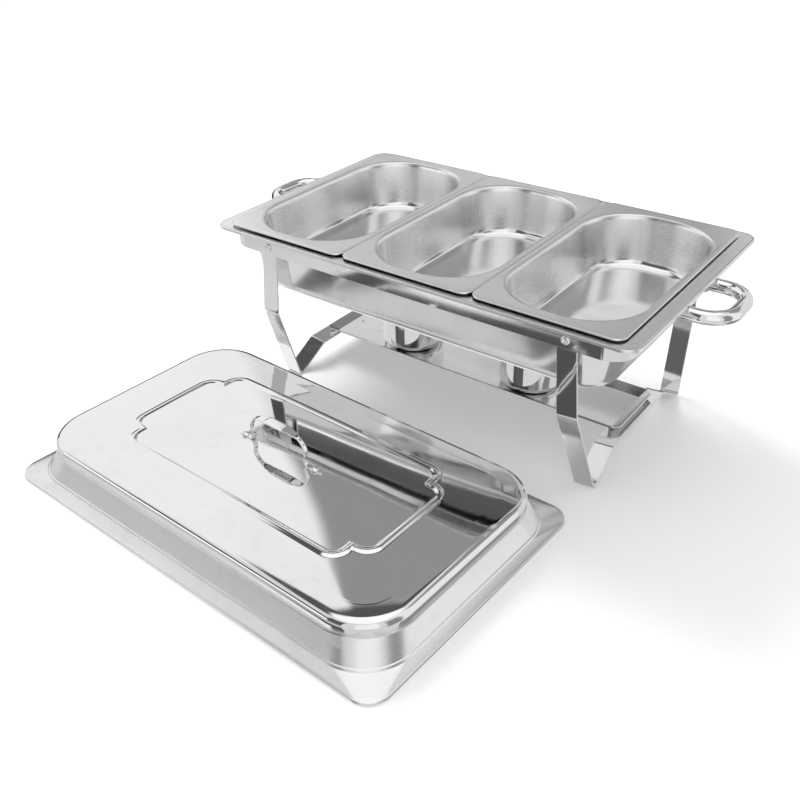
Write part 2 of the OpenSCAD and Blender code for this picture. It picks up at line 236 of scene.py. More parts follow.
@dataclass(frozen=True)
class Card:
    """One soft-edged card of the tent, by direction in degrees: azimuth from +Y towards +X, elevation.

    Its level is how bright it is, and its edge is how far outside it fades.
    """

    azimuth: float
    elevation: float
    half_width: float
    half_height: float
    edge: float
    level: float

    def mask(self, azimuth: Val, elevation: Val) -> Val:
        """Return 1 inside the card and 0 outside it, with a soft edge, in degrees."""
        across = (azimuth - self.azimuth).absolute().ramp(self.half_width + self.edge, self.half_width)
        up = (elevation - self.elevation).absolute().ramp(self.half_height + self.edge, self.half_height)
        return across * up


@dataclass(frozen=True)
class Tent:
    """The light tent that the steel reflects: a glow by height, with cards laid over it in order.

    The glow goes from ground to sky within the horizon's degrees of level. A later card covers an
    earlier one.
    """

    name: str = "tent_glow"
    sky: float = 0.85
    ground: float = 0.8
    horizon: float = 12.0
    cards: tuple[Card, ...] = (
        Card(-165, -29, 22, 8, 4, 0.1),
        Card(-137, -58, 60, 15, 5, 1.1),
        Card(0, -90, 180, 19, 5, 0.42),
        Card(-168, -35, 12, 9, 4, 0.12),
        Card(-45, 0, 40, 13, 5, 0.1),
        Card(4, 42, 52, 10, 3, 0.34),
        Card(-60, 59, 58, 4, 3, 0.1),
        Card(0, 90, 180, 24, 5, 1.25),
        Card(-80, 33, 32, 20, 3, 1.05),
        Card(-156, 25, 30, 7, 3, 0.1),
        Card(-168, 36, 18, 12, 3, 0.12),
        Card(-138, 12, 16, 5, 3, 1.5),
        Card(-171, 9, 14, 10, 3, 0.14),
        Card(-148, -8, 26, 10, 5, 0.6),
        Card(-18, 16, 3, 9, 2, 0.15),
        Card(66, 20, 12, 42, 8, 1.0),
        Card(96, 10, 9, 30, 8, 0.3),
        Card(140, 20, 16, 30, 6, 1.1),
        Card(40, -44, 40, 8, 5, 0.3),
    )

    def build(self) -> bpy.types.Material:
        """Return the glowing node material."""
        n = Nodes(self.name)
        n.material.cycles.emission_sampling = "NONE"
        spot = n.make("ShaderNodeTexCoord")["Object"]
        way = n.make("ShaderNodeVectorMath", {"operation": "NORMALIZE"}, {0: spot})[0]
        x, y, z = (Val(n, s) for s in n.make("ShaderNodeSeparateXYZ", {}, {0: way}))
        azimuth = x.heading(y)
        elevation = z.elevation()
        level = elevation.ramp(-self.horizon, self.horizon) * (self.sky - self.ground) + self.ground
        for card in self.cards:
            mask = card.mask(azimuth, elevation)
            level = level * (1.0 - mask) + mask * card.level
        grey = n.make("ShaderNodeCombineXYZ", {}, {"X": level, "Y": level, "Z": level})[0]
        glow = n.make("ShaderNodeEmission", {}, {"Color": grey, "Strength": 1.0})[0]
        n.make("ShaderNodeOutputMaterial", {}, {"Surface": glow})
        return n.material


class Finish(Enum):
    """The steel finishes of the dish."""

    LID = Steel("lid_sheet_steel", tone=0.8, polished=0.045, satin=0.24, ripple=0.05, smudge=0.05)
    PAN = Steel("food_pan_sheet_steel", tone=0.84, polished=0.1, satin=0.3, ripple=0.12, smudge=0.08)
    WATER = Steel("water_pan_sheet_steel", tone=0.84, polished=0.12, satin=0.26, ripple=0.1)
    MIRROR = Steel("mirror_polish", tone=0.82, polished=0.04, satin=0.12, grain=0.01, ripple=0.03,
                   warm=0.01)
    STRIP = Steel("strip_polish", tone=0.8, polished=0.05, satin=0.1, grain=0.02, ripple=0.06, warm=0.015)
    PLAIN = Steel("plain_polish", tone=0.8, polished=0.1, satin=0.14, zoned=False, coordinates="Object",
                  stretch=(60.0, 700.0, 700.0), ripple=0.05)
    RIVET = Steel("rivet_plating", tone=0.85, polished=0.12, satin=0.16, zoned=False, coordinates="Object",
                  stretch=(400.0, 400.0, 400.0), ripple=0.02)
    COLLAR = Steel("collar_dull", tone=0.42, polished=0.25, satin=0.32, zoned=False, coordinates="Object",
                   stretch=(300.0, 300.0, 300.0))

    def material(self) -> bpy.types.Material:
        """Return this finish's material, made once."""
        return bpy.data.materials.get(self.value.name) or self.value.build()


# ---- surfaces --------------------------------------------------------------------------------


@dataclass
class Surface:
    """Collects grids of points in millimetres and makes one closed mesh of them."""

    name: str
    points: list[np.ndarray] = field(default_factory=list)
    faces: list[np.ndarray] = field(default_factory=list)
    uvs: list[np.ndarray] = field(default_factory=list)
    zones: list[np.ndarray] = field(default_factory=list)
    count: int = 0

    def add(self, grid: np.ndarray, zone: np.ndarray | float = 0.0, closed: bool = False) -> None:
        """Add one grid whose rows are rings that close on themselves.

        A row's points join in turn and to the next row's, as quads. UV is the length along the row
        and the length across rows, in metres.

        Args:
            grid: points by row, ring place and axis.
            zone: satin share for each row, or for all of them.
            closed: whether the last row joins the first; if not, the first and the last row each
                close in a fan around their middle.
        """
        rows, ring, _ = grid.shape
        row = np.arange(rows if closed else rows - 1)[:, None]
        col = np.arange(ring)[None, :]
        after = (row + 1) % rows
        right = (col + 1) % ring
        here, there = row * ring, after * ring
        quads = np.stack([here + col, there + col, there + right, here + right], -1)
        quads = quads.reshape(-1, 4) + self.count
        along = np.linalg.norm(np.diff(grid, axis=1, append=grid[:, :1]), axis=2)
        widest = along[np.argmax(along.sum(1))]
        u = np.concatenate([[0.0], np.cumsum(widest)])
        steps = np.linalg.norm(np.diff(grid, axis=0, append=grid[:1]), axis=2).max(1)
        v = np.concatenate([[0.0], np.cumsum(steps)])
        rr, cc = np.broadcast_arrays(row, col)
        corner_u = np.stack([u[cc], u[cc], u[cc + 1], u[cc + 1]], -1)
        corner_v = np.stack([v[rr], v[rr + 1], v[rr + 1], v[rr]], -1)
        uv = np.stack([corner_u, corner_v], -1).reshape(-1, 2) * MM
        self.faces.append(quads)
        self.uvs.append(uv)
        points = [grid.reshape(-1, 3)]
        zone_rows = np.broadcast_to(np.asarray(zone, float).reshape(-1, 1), (rows, ring))
        zones = [zone_rows.reshape(-1)]
        total = rows * ring
        if not closed:
            for last, line in ((False, grid[0]), (True, grid[-1])):
                start = self.count + (rows - 1) * ring * last
                around = start + col[0]
                next_one = start + right[0]
                pole = np.full(ring, self.count + total)
                fan = [next_one, around, pole] if last else [around, next_one, pole]
                self.faces.append(np.stack(fan, -1))
                fan_uv = np.zeros((ring, 3, 2))
                fan_uv[..., 1] = v[rows - 1] if last else 0.0
                self.uvs.append(fan_uv.reshape(-1, 2) * MM)
                points.append(line.mean(0)[None, :])
                zones.append(zone_rows[-1 if last else 0, :1])
                total += 1
        self.points.append(np.concatenate(points))
        self.zones.append(np.concatenate(zones))
        self.count += total

    def build(self, finish: Finish, body: str, slot: str, nodes: tuple[str, ...]) -> bpy.types.Object:
        """Make the object, give it its finish and join it to the frame.

        Args:
            finish: the steel it is made of.
            body: the CAD body that carries it.
            slot: the record's material slot; not used.
            nodes: the CAD nodes it stands for.

        Returns:
            The new object.
        """
        mesh = bpy.data.meshes.new(self.name)
        points = np.concatenate(self.points) * MM
        faces = [face for block in self.faces for face in block.tolist()]
        mesh.from_pydata(points.tolist(), [], faces)
        mesh.polygons.foreach_set("use_smooth", np.ones(len(mesh.polygons), dtype=bool))
        mesh.uv_layers.new(name="UVMap").data.foreach_set("uv", np.concatenate(self.uvs).reshape(-1))
        zone = mesh.attributes.new("zone", "FLOAT", "POINT")
        zone.data.foreach_set("value", np.concatenate(self.zones))
        mesh.update()
        piece = bpy.data.objects.new(self.name, mesh)
        bpy.context.scene.collection.objects.link(piece)
        mesh.materials.append(finish.material())
        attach(piece, body)
        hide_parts(*nodes)
        LOG.info("%s: %d faces", self.name, len(mesh.polygons))
        return piece


def weighted(piece: bpy.types.Object) -> None:
    """Keep flat faces flat in their shading, by face area."""
    modifier = piece.modifiers.new("flat_shading", "WEIGHTED_NORMAL")
    modifier.keep_sharp = True


@dataclass(frozen=True)
class Outline:
    """The places around a rounded rectangle: so many on each corner and on each pair of sides."""

    corner: int = 20
    long_side: int = 24
    short_side: int = 16

    def parts(self) -> tuple[np.ndarray, np.ndarray, np.ndarray, np.ndarray]:
        """Return the arc's cosine and sine and the centre's signs, anticlockwise from +X."""
        signs = [(1, 1), (-1, 1), (-1, -1), (1, -1)]
        counts = [self.long_side, self.short_side, self.long_side, self.short_side]
        angle, sx, sy = [], [], []
        for k, (here, count) in enumerate(zip(signs, counts)):
            then = signs[(k + 1) % 4]
            t = np.linspace(0, 1, count + 2)[1:-1]
            arc = np.linspace(k, k + 1, self.corner + 1)
            angle += [arc * math.pi / 2, np.full(count, (k + 1) * math.pi / 2)]
            sx += [np.full(self.corner + 1, float(here[0])), here[0] + (then[0] - here[0]) * t]
            sy += [np.full(self.corner + 1, float(here[1])), here[1] + (then[1] - here[1]) * t]
        turn = np.concatenate(angle)
        return np.cos(turn), np.sin(turn), np.concatenate(sx), np.concatenate(sy)

    def grid(self, sections: np.ndarray) -> np.ndarray:
        """Return a ring of points for each section (half x, half y, radius, z).

        A point is the corner centre, half size less radius along its sign, plus the radius along
        its arc direction.
        """
        cos, sin, sx, sy = self.parts()
        hx, hy, r, z = (sections[:, i:i + 1] for i in range(4))
        x = sx * (hx - r) + r * cos
        y = sy * (hy - r) + r * sin
        return np.stack([x, y, np.broadcast_to(z, x.shape)], -1)


def softened(keys: np.ndarray, steps: int = 6, closed: bool = False) -> np.ndarray:
    """Round the corners of a path of sections.

    Each corner becomes a quadratic curve from a point before it to one after it, pulled by the
    corner: (1 - t) squared start + 2 t (1 - t) corner + t squared end.

    Args:
        keys: one row per corner; the last column is how far from it the curve starts.
        steps: parts of each curve.
        closed: whether the path closes on itself.

    Returns:
        The rows of the softened path, without the last column.
    """
    most = 0.49
    tiny = 1e-6
    here = keys[:, :-1]
    reach = keys[:, -1:]
    before = np.roll(here, 1, axis=0)
    after = np.roll(here, -1, axis=0)
    gap_in = np.linalg.norm(before - here, axis=1, keepdims=True) + tiny
    gap_out = np.linalg.norm(after - here, axis=1, keepdims=True) + tiny
    start = here + (before - here) * np.minimum(reach / gap_in, most)
    end = here + (after - here) * np.minimum(reach / gap_out, most)
    if not closed:
        start[0], end[0], start[-1], end[-1] = here[0], here[0], here[-1], here[-1]
    t = np.linspace(0, 1, steps + 1)[None, :, None]
    curve = (1 - t) ** 2 * start[:, None] + 2 * t * (1 - t) * here[:, None] + t ** 2 * end[:, None]
    rows = curve.reshape(-1, here.shape[1])
    keep = np.ones(len(rows), dtype=bool)
    keep[1:] = np.linalg.norm(np.diff(rows, axis=0), axis=1) > tiny
    return rows[keep]


def shrunk(section: list[float], shares: np.ndarray, lift: float = 0.0) -> np.ndarray:
    """Return sections that shrink towards the middle, rising by lift times (1 - share squared)."""
    hx, hy, r, z = section
    return np.stack([hx * shares, hy * shares, r * shares, z + lift * (1 - shares ** 2)], -1)


def tube(path: np.ndarray, radius: float, sides: int = 28) -> np.ndarray:
    """Return rings around a flat path in the XY plane: centre + radius (normal cos + Z sin)."""
    tangent = np.gradient(path, axis=0)
    tangent /= np.linalg.norm(tangent, axis=1, keepdims=True)
    normal = np.stack([tangent[:, 1], -tangent[:, 0], np.zeros(len(path))], -1)
    angle = np.linspace(0, 2 * math.pi, sides, endpoint=False)
    up = np.array([0.0, 0.0, 1.0])
    ring = normal[:, None] * np.cos(angle)[None, :, None] + up * np.sin(angle)[None, :, None]
    return path[:, None] + radius * ring


def strip(path: np.ndarray, half_width: np.ndarray, thickness: float, round_over: float) -> np.ndarray:
    """Return rings around a strip bent along a path in the YZ plane, with its width along X.

    A ring is a rounded rectangle across the path: half width along X and half thickness along the
    path's normal.

    Args:
        path: the (y, z) rows that the strip follows.
        half_width: half the strip's width at each row.
        thickness: the strip's thickness.
        round_over: the radius along its edges.

    Returns:
        The rings of points.
    """
    tangent = np.gradient(path, axis=0)
    tangent /= np.linalg.norm(tangent, axis=1, keepdims=True)
    normal = np.stack([-tangent[:, 1], tangent[:, 0]], -1)
    cos, sin, sx, sy = Outline(3, 4, 1).parts()
    half = thickness / 2
    x = sx[None] * (half_width[:, None] - round_over) + round_over * cos
    offset = (sy * (half - round_over) + round_over * sin)[None]
    yz = path[:, None] + normal[:, None] * offset[..., None]
    return np.concatenate([x[..., None], yz], -1)


def rounded_path(corners: np.ndarray, bend: float, steps: int = 8) -> np.ndarray:
    """Return a path through the corners with each one softened."""
    keys = np.concatenate([corners, np.full((len(corners), 1), bend)], 1)
    return softened(keys, steps)


def turned(grid: np.ndarray, matrix: Matrix) -> np.ndarray:
    """Return the grid's points moved by a matrix in millimetres."""
    m = np.array(matrix)
    return grid @ m[:3, :3].T + m[:3, 3]


def lathe(profile: np.ndarray, sides: int = 48) -> np.ndarray:
    """Return rings of a profile of (radius, z) rows turned about Z."""
    angle = np.linspace(0, 2 * math.pi, sides, endpoint=False)
    r, z = profile[:, :1], profile[:, 1:]
    heights = np.broadcast_to(z, (len(profile), sides))
    return np.stack([r * np.cos(angle), r * np.sin(angle), heights], -1)


def middle(node: str) -> tuple[float, float]:
    """Return the middle of a CAD node in plan, in millimetres."""
    low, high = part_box(node)
    return (low[0] + high[0]) / 2 / MM, (low[1] + high[1]) / 2 / MM


def top(node: str) -> float:
    """Return the top of a CAD node in millimetres."""
    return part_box(node)[1][2] / MM


def half_size(node: str, axis: int) -> float:
    """Return half of a CAD node's size along an axis in millimetres."""
    low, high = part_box(node)
    return (high[axis] - low[axis]) / 2 / MM


# ---- the pieces ------------------------------------------------------------------------------


@dataclass
class FoodPan:
    """One third-size food pan with a long round-ended basin."""

    side: str
    opening: tuple[float, float, float] = (78.0, 146.0, 68.0)
    depth: float = 63.0
    sheet: float = 1.0
    edge: float = 2.3
    floor_inset: float = 20.0
    floor_crown: float = 0.9
    wall_satin: float = 0.65
    floor_satin: float = 0.1

    def build(self) -> None:
        """Make the pan: floor, wall and rim inside, then edge, wall and floor outside.

        A row of keys is half x, half y, corner radius, height and how far its corner is softened.
        """
        node = f"food_pan_{self.side}"
        cx, cy = middle(node)
        z = top(node)
        bx, by, br = self.opening
        w, l = half_size(node, 0), half_size(node, 1)
        low = z - self.depth
        s = self.sheet
        inset = self.floor_inset
        floor = [bx - inset, by - inset, br - inset, low + s]
        keys = np.array([
            [*floor, 1.0],
            [bx - 10.5, by - 10.5, br - 10.5, low + s + 0.3, 11.0],
            [bx - 1.0, by - 1.0, br - 1.0, z - 4.2, 3.0],
            [bx + 0.6, by + 0.6, br - 1.0, z - 0.9, 1.3],
            [bx + 3.2, by + 3.2, br, z - 0.1, 1.4],
            [w - 3.4, l - 3.4, 10.6, z, 1.0],
            [w - 0.1, l - 0.1, 13.0, z - 0.2, 1.7],
            [w, l, 13.0, z - self.edge, 0.8],
            [w - s, l - s, 12.0, z - self.edge, 0.3],
            [w - s - 0.2, l - s - 0.2, 12.0, z - s - 0.2, 1.0],
            [bx + 3.4, by + 3.4, br, z - s - 0.2, 2.0],
            [bx, by, br, z - 4.4, 2.0],
            [bx - 9.6, by - 9.6, br - 9.6, low + 0.1, 12.0],
            [*floor[:3], low, 1.0],
        ])
        shares = np.linspace(0.04, 0.96, 12)
        inside = shrunk(floor, shares, self.floor_crown)
        under = shrunk([*floor[:3], low], shares[::-1], self.floor_crown)
        rows = np.concatenate([inside, softened(keys, 7), under])
        height = (rows[:, 3] - low) / self.depth
        rim = np.clip((height - 0.93) / 0.05, 0.0, 1.0)
        zone = self.wall_satin + (1.0 - self.wall_satin) * rim
        zone[height < 0.12] = self.floor_satin
        surface = Surface(f"pan_{self.side}")
        surface.add(Outline(24, 8, 22).grid(rows) + np.array([cx, cy, 0.0]), zone)
        surface.build(Finish.PAN, node, "satin_steel", (node,))


@dataclass
class WaterPan:
    """The deep pan that holds the hot water and carries the food pans on its rim."""

    wall: tuple[float, float, float] = (241.0, 148.0, 38.0)
    opening: tuple[float, float, float] = (255.0, 155.0, 44.0)
    depth: float = 75.0
    sheet: float = 1.0
    edge: float = 4.0
    floor_inset: float = 16.0

    def build(self) -> None:
        """Make the pan: floor, wall and rim inside, then edge, wall and floor outside.

        A row of keys is half x, half y, corner radius, height and how far its corner is softened.
        """
        cx, cy = middle("water_pan")
        z = top("water_pan")
        w, l = half_size("water_pan", 0), half_size("water_pan", 1)
        low = z - self.depth
        fx, fy, fr = self.wall
        ox, oy, orr = self.opening
        s = self.sheet
        inset = self.floor_inset
        floor = [fx - inset, fy - inset, fr - inset, low + s]
        keys = np.array([
            [*floor, 1.0],
            [fx - 1.2, fy - 1.2, fr - 1.2, low + s, 13.0],
            [ox - s, oy - s, orr - s, z - 2.4, 2.0],
            [ox + 1.6, oy + 1.6, orr - 2, z - 0.2, 2.0],
            [w - 2.6, l - 2.6, 15.6, z - 0.2, 0.8],
            [w - 1.6, l - 1.6, 16.4, z, 0.5],
            [w - 0.1, l - 0.1, 18.0, z - 0.2, 1.2],
            [w, l, 18.0, z - self.edge, 0.4],
            [w - s, l - s, 17.0, z - self.edge, 0.4],
            [w - s - 0.2, l - s - 0.2, 17.0, z - s - 0.1, 0.8],
            [ox + 2.2, oy + 2.2, orr - 2, z - s - 0.1, 2.0],
            [ox, oy, orr, z - 3.6, 2.0],
            [fx, fy, fr, low, 13.5],
            [*floor[:3], low, 1.0],
        ])
        shares = np.linspace(0.04, 0.96, 10)
        under = shrunk([*floor[:3], low], shares[::-1])
        rows = np.concatenate([shrunk(floor, shares), softened(keys, 8), under])
        zone = np.clip((rows[:, 3] - z + 6.0) / 3.0, 0.0, 1.0)
        surface = Surface("water_pan_sheet")
        surface.add(Outline(20, 40, 24).grid(rows) + np.array([cx, cy, 0.0]), zone)
        surface.build(Finish.WATER, "water_pan", "satin_steel", ("water_pan",))


@dataclass
class Lid:
    """The lid: wide flange, satin wall, polished shoulder and a crowned top with a scalloped bead."""

    half: tuple[float, float] = (273.5, 166.5)
    turn: float = -2.9
    height: float = 51.0
    crown: float = 6.5
    bead: tuple[float, float, float, float] = (165.0, 90.0, 187.0, 66.0)
    bead_radius: float = 23.0
    bead_width: float = 11.0
    bead_height: float = 1.3
    crown_reach: float = 1.02
    bead_band: float = 0.075
    satin_below: float = 9.0
    satin_under: float = 0.6
    grip_lift: float = 0.9
    rivet_x: float = 53.0

    def frame_distance(self, x: np.ndarray, y: np.ndarray) -> np.ndarray:
        """Return the distance outside the bead's outer line: the nearer of two rounded rectangles."""
        ax, ay, bx, by = self.bead
        r = self.bead_radius

        def box(hx: float, hy: float) -> np.ndarray:
            """Return the signed distance to one rounded rectangle."""
            qx, qy = np.abs(x) - (hx - r), np.abs(y) - (hy - r)
            return np.hypot(np.maximum(qx, 0), np.maximum(qy, 0)) + np.minimum(np.maximum(qx, qy), 0) - r

        return np.minimum(box(ax, ay), box(bx, by))

    def top_grid(self, edge: np.ndarray, inner: bool) -> np.ndarray:
        """Return the crowned top as rows from its middle to its edge.

        A row lies at a share of the way out; shares crowd where the bead crosses, found by walking
        each spoke outwards until the distance to the frame changes sign. Height is the crown times
        (1 - u squared)(1 - v squared), where u and v are x and y over the edge's half sizes, less
        what that is at the edge, plus over the bead its height times f squared (3 - 2 f), where f
        goes from 0 at the bead's sides to 1 along its middle.

        Args:
            edge: the ring of points that the top ends at.
            inner: whether this is the underside, which has fewer rows and no bead.

        Returns:
            The rows of points, the last one on the edge.
        """
        reach_x = np.abs(edge[:, 0]).max() * self.crown_reach
        reach_y = np.abs(edge[:, 1]).max() * self.crown_reach

        def bulge(x: np.ndarray, y: np.ndarray) -> np.ndarray:
            """Return the crown's share at these places."""
            return np.clip(1 - (x / reach_x) ** 2, 0, 1) * np.clip(1 - (y / reach_y) ** 2, 0, 1)

        first, steps = 0.2, 600
        walk = np.linspace(first, 1.0, steps)[:, None]
        sign = self.frame_distance(walk * edge[:, 0], walk * edge[:, 1]) + self.bead_width / 2
        hit = first + (1.0 - first) * np.argmax(sign > 0, axis=0) / (steps - 1)
        band = self.bead_band
        inside_rows, band_rows, outside_rows = (8, 3, 5) if inner else (26, 34, 18)
        inside = np.linspace(0.03, 1.0, inside_rows)[:-1, None] * (hit - band)
        across = hit + np.linspace(-band, band, band_rows)[:, None]
        outside = (hit + band) + np.linspace(0, 1, outside_rows)[1:, None] * (1 - hit - band)
        share = np.concatenate([inside, across, outside])
        x, y = share * edge[:, 0], share * edge[:, 1]
        z = edge[:, 2] + self.crown * (bulge(x, y) - bulge(edge[:, 0], edge[:, 1]) * share ** 6)
        if not inner:
            half_bead = self.bead_width / 2
            off = np.abs(self.frame_distance(x, y) + half_bead) / half_bead
            fall = np.clip(1.0 - off, 0.0, 1.0)
            z = z + self.bead_height * fall ** 2 * (3 - 2 * fall)
        return np.stack([x, y, z], -1)

    def build(self) -> None:
        """Make the lid: the top outwards, down the wall and over the edge, and back underneath.

        A row of keys is half x, half y, corner radius, height and how far its corner is softened.
        """
        ex, ey = self.half
        h = self.height
        keys = np.array([
            [ex - 43.0, ey - 50.0, 33.0, h + 0.8, 1.0],
            [ex - 42.0, ey - 49.0, 34.0, h + 0.7, 1.0],
            [ex - 19.4, ey - 24.4, 57.5, h - 0.6, 19.0],
            [ex - 20.0, ey - 25.0, 57.0, 33.0, 3.0],
            [ex - 11.4, ey - 14.6, 56.0, 11.0, 0.4],
            [ex - 10.2, ey - 13.4, 56.0, 10.6, 0.4],
            [ex - 9.6, ey - 12.6, 56.0, 8.6, 1.6],
            [ex - 2.2, ey - 2.2, 23.0, 3.3, 1.0],
            [ex - 0.1, ey - 0.1, 25.0, 2.7, 1.0],
            [ex, ey, 25.0, 0.0, 0.3],
            [ex - 1.0, ey - 1.0, 24.0, 0.0, 0.3],
            [ex - 1.4, ey - 1.4, 24.0, 2.0, 0.6],
            [ex - 10.8, ey - 13.8, 55.0, 7.4, 2.0],
            [ex - 21.0, ey - 26.0, 56.0, 36.0, 3.0],
            [ex - 20.6, ey - 25.6, 56.6, h - 1.8, 18.0],
            [ex - 43.4, ey - 50.4, 32.6, h - 0.4, 1.0],
        ])
        rows = softened(keys, 7)
        sides = Outline(36, 100, 72).grid(rows)
        outer_top = self.top_grid(sides[0], inner=False)[:-1]
        under_top = self.top_grid(sides[-1], inner=True)[:-1][::-1]
        grid = np.concatenate([outer_top, sides, under_top])
        satin = np.clip((h - self.satin_below - rows[:, 3]) / 3.0, 0.0, 1.0)
        zone = np.concatenate([np.zeros(len(outer_top)), satin, np.full(len(under_top), self.satin_under)])
        cx, cy = middle("lid_shell")
        place = Matrix.Translation((cx, cy, 0)) @ Matrix.Rotation(math.radians(self.turn), 4, "Z")
        surface = Surface("lid_sheet")
        surface.add(turned(grid, place), zone)
        surface.build(Finish.LID, "lid", "lid_steel", ("lid_shell",))
        self.build_handle(place)
        self.build_rivets(place)

    def build_handle(self, place: Matrix) -> None:
        """Make the strap handle: round feet, narrow curved legs and a wide arched grip.

        Its half width is a parabola over the grip, a circle about the middle of a foot, and even
        on the legs, smoothed along the strap.

        Args:
            place: where the lid lies, in millimetres.
        """
        z = self.height + self.crown + self.grip_lift
        half = np.array([[62.0, z], [45.0, z], [39.5, z + 2.0], [39.0, z + 10.0], [42.0, z + 19.0],
                         [36.5, z + 28.0], [31.0, z + 32.6], [15.0, z + 35.6]])
        path = rounded_path(np.concatenate([half * [-1, 1], half[::-1]]), 5.0, 10)
        x = np.abs(path[:, 0])
        rise = path[:, 1] - z
        leg, widest, grip_half, foot_radius, foot_x = 2.8, 4.4, 32.0, 7.0, 55.0
        grip = 2.6 + widest * np.clip(1 - (x / grip_half) ** 2, 0, 1)
        foot = np.sqrt(np.clip(foot_radius ** 2 - (x - foot_x) ** 2, 1.2, 36.0))
        width = np.where(rise > 12.0, grip, np.where(x > 47.0, foot, leg))
        span = 5
        even = np.ones(span) / span
        width = np.convolve(np.pad(width, span // 2, mode="edge"), even, mode="valid")
        spin = Matrix.Rotation(-math.pi / 2, 4, "Z")
        surface = Surface("lid_grip")
        surface.add(turned(strip(path, width, 2.0, 0.8), place @ spin))
        weighted(surface.build(Finish.MIRROR, "lid", "mirror_steel", ("lid_handle",)))

    def build_rivets(self, place: Matrix) -> None:
        """Make the two domed rivet heads on the feet and the buttons underneath.

        Args:
            place: where the lid lies, in millimetres.
        """
        z = self.height + self.crown + 0.1
        head = np.array([[0.3, 4.2], [1.6, 4.05], [3.0, 3.5], [4.0, 2.7], [4.4, 1.9], [4.3, 1.6],
                         [2.4, 1.6], [2.4, -3.0], [4.0, -3.0], [4.0, -4.0], [0.3, -4.2]]) + [0, z]
        surface = Surface("lid_rivet_heads")
        for x in (-self.rivet_x, self.rivet_x):
            grid = lathe(head, 32) + np.array([x, 0.0, 0.0])
            surface.add(turned(grid, place))
        surface.build(Finish.RIVET, "lid", "rivet_steel", ("lid_rivets",))


